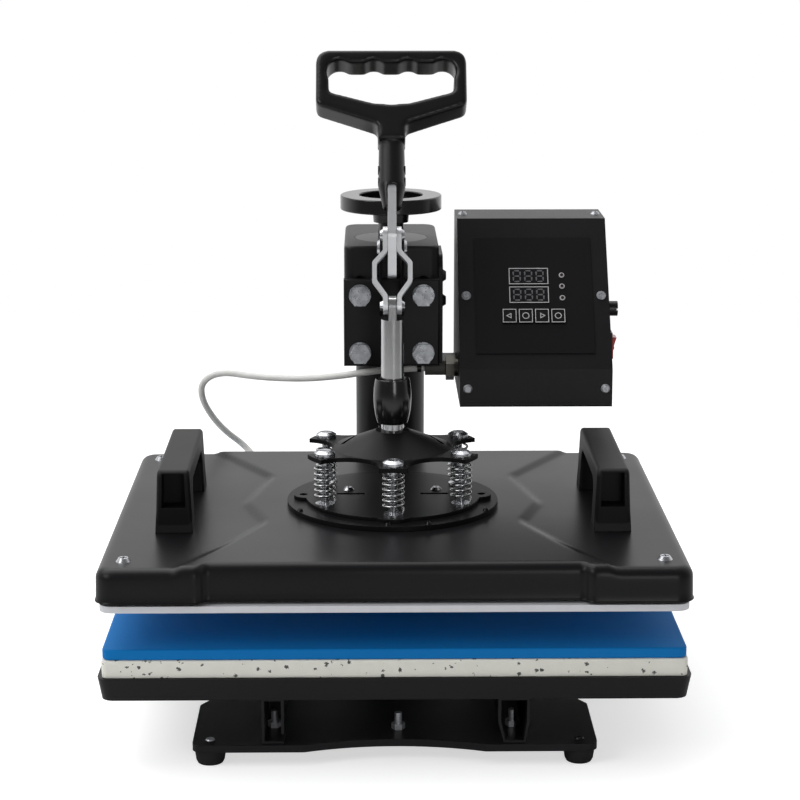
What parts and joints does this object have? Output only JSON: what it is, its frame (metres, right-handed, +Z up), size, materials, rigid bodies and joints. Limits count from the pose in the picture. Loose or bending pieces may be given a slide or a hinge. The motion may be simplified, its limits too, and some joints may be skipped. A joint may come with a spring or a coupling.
{
  "type": "combo heat press",
  "caption": "Swing-away clamshell heat press with a sprung heated platen, toggle lever, pressure knob and a panel box on its arm.",
  "frame": {"origin": "bottom centre of the bounding box, on the surface that the feet stand on", "axes": "+Z up, +X to the operator's right, -Y towards the operator"},
  "size_m": [0.391, 0.398, 0.4532],
  "materials": {
    "black_cast": "cast and powder coated",
    "black_enamel": "satin",
    "grey_enamel": "fine texture",
    "rubber": "matt",
    "zinc_steel": "zinc plated",
    "foam": "speckled",
    "blue_silicone": "matt",
    "aluminium": "machined",
    "chrome": "polished",
    "brass": "machined",
    "black_plastic": "moulded",
    "panel_film": "film",
    "display_glass": "smoked",
    "red_plastic": "moulded",
    "white_sleeve": "woven sleeve"
  },
  "bodies": {
    "root": {"base_plate": "black_enamel", "base_feet": "rubber", "base_fasteners": "zinc_steel", "left_channel": "black_enamel", "right_channel": "black_enamel", "lower_tray": "black_cast", "foam_pad": "foam", "silicone_mat": "blue_silicone", "column_flange": "black_enamel", "column_tube": "grey_enamel"},
    "head": {"arm_housing": "grey_enamel", "arm_top_cap": "grey_enamel", "swivel_bushes": "brass", "control_bracket": "grey_enamel", "control_screws": "zinc_steel", "control_housing": "grey_enamel", "control_cover": "grey_enamel", "panel_overlay": "panel_film", "display_windows": "display_glass", "led_lenses": "aluminium", "circuit_board": "panel_film", "switch_bezel": "black_plastic", "power_inlet": "black_plastic", "cable_gland": "black_plastic", "gland_tail": "black_plastic", "heater_cable": "white_sleeve"},
    "pressure": {"pressure_knob": "black_plastic", "pressure_screw": "chrome"},
    "carriage": {"carriage_block": "grey_enamel", "toggle_bracket": "grey_enamel", "clamp_bolts": "zinc_steel", "guide_bush": "black_plastic", "lever_pivot_pin": "zinc_steel"},
    "lever": {"toggle_lever": "zinc_steel", "handle_grip": "black_plastic", "grip_screws": "zinc_steel"},
    "links": {"left_link": "zinc_steel", "right_link": "zinc_steel", "link_pins": "zinc_steel"},
    "plunger": {"push_rod": "chrome", "spider_plate": "black_enamel", "spider_nut": "zinc_steel"},
    "platen": {"platen_cover": "black_enamel", "platen_screws": "zinc_steel", "heater_plate": "aluminium", "heating_element": "aluminium", "mount_disc": "zinc_steel", "mount_plate": "zinc_steel", "spring_bosses": "zinc_steel", "spring_bolts": "zinc_steel", "springs": "zinc_steel", "left_side_handle": "black_plastic", "right_side_handle": "black_plastic", "cable_grommet": "black_plastic"},
    "key_down": {"button_down": "panel_film"},
    "key_mode": {"button_mode": "panel_film"},
    "key_up": {"button_up": "panel_film"},
    "key_timer": {"button_timer": "panel_film"},
    "rocker": {"rocker_switch": "red_plastic"},
    "fuse": {"fuse_cap": "black_plastic"}
  },
  "joints": [
    {"name": "head_swing", "type": "hinge", "parent": "root", "child": "head", "pos_m": [0, 0.1485, 0.254], "axis": [0, 0, 1], "range_deg": [-180, 180]},
    {"name": "pressure_turn", "type": "hinge", "parent": "head", "child": "pressure", "pos_m": [0, 0.0635, 0.33], "axis": [0, 0, 1], "range_deg": [0, 1440.5]},
    {"name": "carriage_height", "type": "slide", "parent": "head", "child": "carriage", "axis": [0, 0, 1], "range_m": [0, 0.008]},
    {"name": "lever_swing", "type": "hinge", "parent": "carriage", "child": "lever", "pos_m": [0, -0.0135, 0.318], "axis": [1, 0, 0], "range_deg": [0, 107.4]},
    {"name": "link_swing", "type": "hinge", "parent": "lever", "child": "links", "pos_m": [0, -0.0275, 0.3292], "axis": [1, 0, 0], "range_deg": [-116.97, 0.5]},
    {"name": "plunger_stroke", "type": "slide", "parent": "carriage", "child": "plunger", "axis": [0, 0, -1], "range_m": [0, 0.02505]},
    {"name": "platen_float", "type": "slide", "parent": "plunger", "child": "platen", "axis": [0, 0, 1], "range_m": [0, 0.008], "stiffness_N_per_m": 9000, "springref_m": -0.012, "deforming": ["springs"]},
    {"name": "press_down", "type": "slide", "parent": "head", "child": "key_down", "axis": [0, 0.8007, -0.599], "range_m": [0, 0.001], "stiffness_N_per_m": 400, "springref_m": -0.001},
    {"name": "press_mode", "type": "slide", "parent": "head", "child": "key_mode", "axis": [0, 0.8007, -0.599], "range_m": [0, 0.001], "stiffness_N_per_m": 400, "springref_m": -0.001},
    {"name": "press_up", "type": "slide", "parent": "head", "child": "key_up", "axis": [0, 0.8007, -0.599], "range_m": [0, 0.001], "stiffness_N_per_m": 400, "springref_m": -0.001},
    {"name": "press_timer", "type": "slide", "parent": "head", "child": "key_timer", "axis": [0, 0.8007, -0.599], "range_m": [0, 0.001], "stiffness_N_per_m": 400, "springref_m": -0.001},
    {"name": "mains_rocker", "type": "hinge", "parent": "head", "child": "rocker", "pos_m": [0.1598, 0.0205, 0.2395], "axis": [0, 1, 0], "range_deg": [-16, 0]},
    {"name": "fuse_turn", "type": "hinge", "parent": "head", "child": "fuse", "pos_m": [0.159, 0.0305, 0.2658], "axis": [1, 0, 0], "range_deg": [0, 90]}
  ],
  "couplings": [
    {"joint": "pressure_turn", "follows": "carriage_height", "rad_per_m": 3141.6},
    {"joint": "link_swing", "follows": "plunger_stroke", "rad_per_m": -81.139},
    {"joint": "lever_swing", "follows": "plunger_stroke", "rad_per_m": 74.751}
  ]
}
